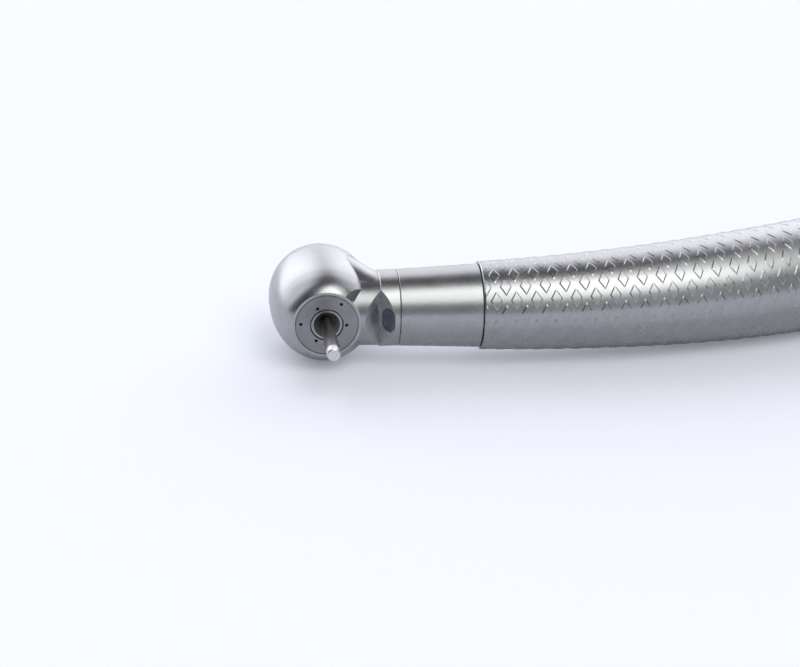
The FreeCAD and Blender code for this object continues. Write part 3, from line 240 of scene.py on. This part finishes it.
SATIN = (0.41, 0.415, 0.42)
materials = {
    "satin_chrome": metal("satin_chrome", SATIN, 0.27),
    "grip_chrome": metal("grip_chrome", SATIN, 0.27),
    "cap_steel": metal("cap_steel", (0.30, 0.30, 0.305), 0.40, grain=0.10, bump=0.008, mottle=0.12,
                       turned=0.09),
    "bur_steel": pin_steel("bur_steel"),
    "window_glass": window_glass("window_glass"),
    "bearing_steel": metal("bearing_steel", (0.36, 0.355, 0.35), 0.30, turned=0.06),
    "ball_ceramic": moulded("ball_ceramic", (0.03, 0.03, 0.032), 0.15, bump=0.0005),
    "cage_resin": moulded("cage_resin", (0.30, 0.17, 0.08), 0.5),
    "seal_rubber": moulded("seal_rubber", (0.02, 0.02, 0.02), 0.55),
    "rotor_aluminium": metal("rotor_aluminium", (0.62, 0.62, 0.63), 0.3, turned=0.1),
    "button_steel": metal("button_steel", (0.48, 0.48, 0.49), 0.24, turned=0.12),
    "spring_steel": metal("spring_steel", (0.40, 0.40, 0.41), 0.25),
    "emitter_resin": moulded("emitter_resin", (0.80, 0.76, 0.48), 0.3),
    "board_resin": moulded("board_resin", (0.02, 0.13, 0.05), 0.4),
    "wire_sheath": moulded("wire_sheath", (0.35, 0.02, 0.015), 0.45),
    "tube_steel": metal("tube_steel", (0.50, 0.50, 0.51), 0.28),
    "holder_resin": moulded("holder_resin", (0.04, 0.04, 0.043), 0.5),
    "bush_brass": metal("bush_brass", (0.58, 0.40, 0.13), 0.28, turned=0.08),
    "coil_copper": wound_copper("coil_copper"),
    "magnet_black": metal("magnet_black", (0.06, 0.06, 0.062), 0.35),
    "connector_steel": metal("connector_steel", (0.50, 0.50, 0.51), 0.26),
}
for row in frame["record"]["subparts"]:
    for slot in frame["nodes"][row["node"]].material_slots:
        slot.material = materials[row["material_slot"]]


# The handle's line and the grip's outline

def grip_radius(place):
    """The grip's radius, smooth through the profile's points."""
    last = len(GRIP_PROFILE) - 1
    index = 0
    while index < last - 1 and place > GRIP_PROFILE[index + 1][0]:
        index += 1
    (start, low), (end, high) = GRIP_PROFILE[index], GRIP_PROFILE[index + 1]

    def slope(number):
        before, after = GRIP_PROFILE[max(number - 1, 0)], GRIP_PROFILE[min(number + 1, last)]
        return (after[1] - before[1]) / (after[0] - before[0])

    span = end - start
    t = min(max((place - start) / span, 0.0), 1.0)
    rise = (3 - 2 * t) * t * t
    return (
        low + (high - low) * rise
        + span * slope(index) * t * (1 - t) ** 2 - span * slope(index + 1) * t * t * (1 - t)
    )


def on_handle(place, angle, radius):
    """A point of the frame at a distance along the handle's line, an angle and a radius.
    The angle is zero towards -Y, where the bur points, and grows upwards."""
    turn = min(max((place - BEND_START) / BEND_RADIUS, 0.0), BEND_ANGLE)
    before = min(place, BEND_START)
    after = max(place - BEND_END, 0.0)
    x = before + BEND_RADIUS * math.sin(turn) + after * math.cos(turn)
    y = NECK_DEPTH + BEND_RADIUS * (1 - math.cos(turn)) + after * math.sin(turn)
    near = -radius * math.cos(angle)
    x -= near * math.sin(turn)
    y += near * math.cos(turn)
    return Vector((x, y, radius * math.sin(angle))) * MM


# Meshes

def finish_piece(mesh, name, material, body):
    """Make an object of a bmesh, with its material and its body."""
    data = bpy.data.meshes.new(name)
    mesh.to_mesh(data)
    mesh.free()
    made = bpy.data.objects.new(name, data)
    bpy.context.scene.collection.objects.link(made)
    data.materials.append(material)
    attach(made, body)
    return made


def rhombus(half_along, half_round):
    """Points round a rhombus, evenly spaced along its edges."""
    corners = [(half_along, 0.0), (0.0, half_round), (-half_along, 0.0), (0.0, -half_round)]
    points = []
    for number, (x, y) in enumerate(corners):
        next_x, next_y = corners[(number + 1) % 4]
        for step in range(EDGE_STEPS):
            share = step / EDGE_STEPS
            points.append((x + (next_x - x) * share, y + (next_y - y) * share))
    return points


def add_tile(mesh, along, angle):
    """One tile of the grip, flat: x along the handle, y the angle, z the height."""
    radius = grip_radius(along)
    half_round = DIAMOND_HALF_HEIGHT / radius
    inner = (DIAMOND_HALF_WIDTH * DIAMOND_HALF_HEIGHT
             / math.hypot(DIAMOND_HALF_WIDTH, DIAMOND_HALF_HEIGHT))
    spread = BEVEL_WIDTH / 2 / inner
    border = (DIAMOND_PITCH / 2, 2 * math.pi / DIAMOND_ROWS)
    foot = (DIAMOND_HALF_WIDTH * (1 + spread), half_round * (1 + spread))
    middle = tuple((outer + near) / 2 for outer, near in zip(border, foot))
    rings = [(border, 0.0), (middle, 0.0), (foot, 0.0)]
    for scale in (1 - spread, (1 - spread) / 2):
        rings.append(((DIAMOND_HALF_WIDTH * scale, half_round * scale), DIAMOND_RISE))
    loops = []
    for (half_along, half_angle), height in rings:
        loops.append([
            mesh.verts.new((along + x, angle + y, height)) for x, y in rhombus(half_along, half_angle)
        ])
    count = len(loops[0])
    for outer, near in zip(loops, loops[1:]):
        for i in range(count):
            j = (i + 1) % count
            face = mesh.faces.new((outer[i], outer[j], near[j], near[i]))
            face.smooth = True
    centre = mesh.verts.new((along, angle, DIAMOND_RISE))
    for i in range(count):
        face = mesh.faces.new((loops[-1][i], loops[-1][(i + 1) % count], centre))
        face.smooth = True
    for sharp in (loops[2], loops[3]):
        for i in range(count):
            mesh.edges.get((sharp[i], sharp[(i + 1) % count])).smooth = False


def grip_shell():
    """The grip as one closed tube, its outside covered with raised diamonds."""
    mesh = bmesh.new()
    half = DIAMOND_PITCH / 2
    last = int((GRIP_END - FIRST_DIAMOND) / DIAMOND_PITCH) + 2
    for row in range(DIAMOND_ROWS):
        angle = FIRST_ROW_ANGLE + row * 2 * math.pi / DIAMOND_ROWS
        for number in range(-2, last):
            along = FIRST_DIAMOND + number * DIAMOND_PITCH + (row % 2) * half
            if BEND_START - half < along < GRIP_END + half:
                add_tile(mesh, along, angle)
    bmesh.ops.remove_doubles(mesh, verts=mesh.verts, dist=FLAT_MERGE)
    front = BEND_START + GRIP_EDGE
    rear = GRIP_END - GRIP_EDGE
    for place, side in ((front, -1), (rear, 1)):
        everything = list(mesh.verts) + list(mesh.edges) + list(mesh.faces)
        bmesh.ops.bisect_plane(
            mesh, geom=everything, dist=CUT_MERGE, plane_co=(place, 0, 0), plane_no=(side, 0, 0),
            clear_outer=True,
        )
    for vert in mesh.verts:
        along, angle, height = vert.co
        vert.co = (along, angle % (2 * math.pi), height)
    flat = {vert: tuple(vert.co) for vert in mesh.verts}
    for vert, (along, angle, height) in flat.items():
        vert.co = on_handle(along, angle, grip_radius(along) + height)
    bmesh.ops.remove_doubles(mesh, verts=mesh.verts, dist=ROUND_MERGE)
    close_grip(mesh, front, rear)
    bmesh.ops.recalc_face_normals(mesh, faces=mesh.faces)
    return mesh


def ring_of(mesh, place, radius):
    """A ring of vertices round the handle's line."""
    return [
        mesh.verts.new(on_handle(place, 2 * math.pi * i / RING_POINTS, radius))
        for i in range(RING_POINTS)
    ]


def bridge(mesh, outer, inner, smooth):
    """A band of faces between two rings."""
    count = len(outer)
    for i in range(count):
        j = (i + 1) % count
        mesh.faces.new((outer[i], outer[j], inner[j], inner[i])).smooth = smooth


def loop_edges(mesh, ring):
    return [mesh.edges.get((ring[i], ring[(i + 1) % len(ring)])) for i in range(len(ring))]


def close_grip(mesh, front, rear):
    """Join the patterned outside to a plain inside with a small edge at each end."""
    ends = [edge for edge in mesh.edges if edge.is_boundary]
    middle_x = on_handle((front + rear) / 2, 0, 0).x
    inside = []
    for number in range(INSIDE_STATIONS + 1):
        place = BEND_START + (GRIP_END - BEND_START) * number / INSIDE_STATIONS
        inside.append(ring_of(mesh, place, grip_radius(place) - GRIP_WALL))
    for first, second in zip(inside, inside[1:]):
        bridge(mesh, first, second, True)
    for is_front, place, inner in ((True, BEND_START, inside[0]), (False, GRIP_END, inside[-1])):
        edge_ring = ring_of(mesh, place, grip_radius(place) - GRIP_EDGE)
        bridge(mesh, edge_ring, inner, False)
        border = [
            edge for edge in ends
            if (edge.verts[0].co.x < middle_x) == is_front
        ]
        bmesh.ops.bridge_loops(mesh, edges=border + loop_edges(mesh, edge_ring))


grip = finish_piece(grip_shell(), "grip_pattern", materials["grip_chrome"], "handpiece")
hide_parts("grip_sleeve")


# Floor, world and camera

# The floor in metres, its height under the head in millimetres, and its fall towards the connector
FLOOR_SIZE = 4.0
FLOOR_UNDER_HEAD = -6.33
FLOOR_FALL = 0.0118

# The floor's colour, and a faint glow of its own: to the camera, and in what mirrors it
FLOOR_COLOUR = (0.78, 0.80, 0.88, 1)
GLOW_COLOUR = (0.92, 0.93, 1.0, 1)
GLOW_SEEN = 0.2
GLOW_MIRRORED = 0.04


def pale_floor():
    """A wide pale sheet that the head and the grip lie on."""
    mesh = bmesh.new()
    half = FLOOR_SIZE / 2
    corners = [(-half, -half), (half, -half), (half, half), (-half, half)]
    mesh.faces.new([
        mesh.verts.new((x, y, FLOOR_UNDER_HEAD * MM - FLOOR_FALL * x)) for x, y in corners
    ])
    data = bpy.data.meshes.new("floor")
    mesh.to_mesh(data)
    mesh.free()
    floor = bpy.data.objects.new("floor", data)
    bpy.context.scene.collection.objects.link(floor)
    made = bpy.data.materials.new("floor_paper")
    made.use_nodes = True
    nodes = Nodes(made.node_tree)
    surface = made.node_tree.nodes["Principled BSDF"]
    path = nodes.add("LightPath").outputs
    seen = nodes.sum(path["Is Camera Ray"], GLOW_SEEN, "MULTIPLY")
    mirrored = nodes.sum(path["Is Glossy Ray"], GLOW_MIRRORED, "MULTIPLY")
    plug(nodes, surface, Base_Color=FLOOR_COLOUR, Roughness=0.9, Specular_IOR_Level=0.1,
         Emission_Color=GLOW_COLOUR, Emission_Strength=nodes.sum(seen, mirrored))
    data.materials.append(made)


pale_floor()


def direction(azimuth, elevation):
    """A direction to a light; azimuth is zero towards the viewer and grows to the right."""
    turn, rise = math.radians(azimuth), math.radians(elevation)
    return (math.sin(turn) * math.cos(rise), -math.cos(turn) * math.cos(rise), math.sin(rise))


# Soft boxes painted on the world: azimuth, elevation, full and faded half-angles, colour
SOFT_BOXES = [
    (20, 52, 12, 30, (2.15, 2.17, 2.1)),
    (55, 59, 11, 28, (1.0, 1.01, 0.98)),
    (180, 8, 34, 62, (1.25, 1.25, 1.31)),
    (-128, 30, 22, 50, (1.1, 1.1, 1.18)),
    (130, 20, 20, 45, (0.8, 0.8, 0.86)),
    (30, 12, 12, 42, (0.33, 0.34, 0.35)),
]
ROOM = (0.08, 0.08, 0.092, 1.0)


def studio_world():
    world = bpy.data.worlds.new("studio")
    world.use_nodes = True
    bpy.context.scene.world = world
    nodes = Nodes(world.node_tree)
    toward = nodes.add("TexCoord").outputs["Generated"]
    total = nodes.add("RGB").outputs[0]
    total.default_value = ROOM
    for azimuth, elevation, full, faded, colour in SOFT_BOXES:
        facing = nodes.add(
            "VectorMath", {0: toward, 1: direction(azimuth, elevation)}, operation="DOT_PRODUCT")
        share = nodes.add("MapRange", {
            "Value": facing.outputs["Value"], "From Min": math.cos(math.radians(faded)),
            "From Max": math.cos(math.radians(full)),
        }, interpolation_type="SMOOTHSTEP").outputs["Result"]
        light = nodes.add("VectorMath", {0: colour, "Scale": share}, operation="SCALE").outputs[0]
        total = nodes.add("VectorMath", {0: total, 1: light}, operation="ADD").outputs[0]
    seen = nodes.add("LightPath").outputs["Is Camera Ray"]
    lit = world.node_tree.nodes["Background"]
    world.node_tree.links.new(total, lit.inputs["Color"])
    white = nodes.add("Background", {"Color": (1, 1, 1, 1), "Strength": 1.0})
    mixed = nodes.add("MixShader", {0: seen, 1: lit.outputs[0], 2: white.outputs[0]})
    world.node_tree.links.new(mixed.outputs[0], world.node_tree.nodes["World Output"].inputs[0])


studio_world()

CAMERA_AZIMUTH = math.radians(-7.90)
CAMERA_ELEVATION = math.radians(23.59)
CAMERA_ROLL = math.radians(1.594)
CAMERA_TARGET = Vector((9.452, NECK_DEPTH, -3.496)) * MM
CAMERA_DISTANCE = 250 * MM
FOCAL_PIXELS = 2048.3
IMAGE_WIDTH = 800
SENSOR_WIDTH = 36.0
CLIP_START = 0.01
CLIP_END = 20


def photo_camera():
    """A camera where the photograph was taken from."""
    forward = Vector((
        -math.sin(CAMERA_AZIMUTH) * math.cos(CAMERA_ELEVATION),
        math.cos(CAMERA_AZIMUTH) * math.cos(CAMERA_ELEVATION),
        -math.sin(CAMERA_ELEVATION),
    ))
    level = Vector((math.cos(CAMERA_AZIMUTH), math.sin(CAMERA_AZIMUTH), 0))
    above = level.cross(forward)
    right = level * math.cos(CAMERA_ROLL) + above * math.sin(CAMERA_ROLL)
    up = above * math.cos(CAMERA_ROLL) - level * math.sin(CAMERA_ROLL)
    data = bpy.data.cameras.new("photo_camera")
    data.sensor_width = SENSOR_WIDTH
    data.sensor_fit = "HORIZONTAL"
    data.lens = FOCAL_PIXELS * SENSOR_WIDTH / IMAGE_WIDTH
    data.clip_start = CLIP_START
    data.clip_end = CLIP_END
    camera = bpy.data.objects.new("photo_camera", data)
    bpy.context.scene.collection.objects.link(camera)
    turned = Matrix((right, up, -forward)).transposed().to_4x4()
    camera.matrix_world = Matrix.Translation(CAMERA_TARGET - forward * CAMERA_DISTANCE) @ turned
    bpy.context.scene.camera = camera


photo_camera()
bpy.context.scene.view_settings.view_transform = "Standard"
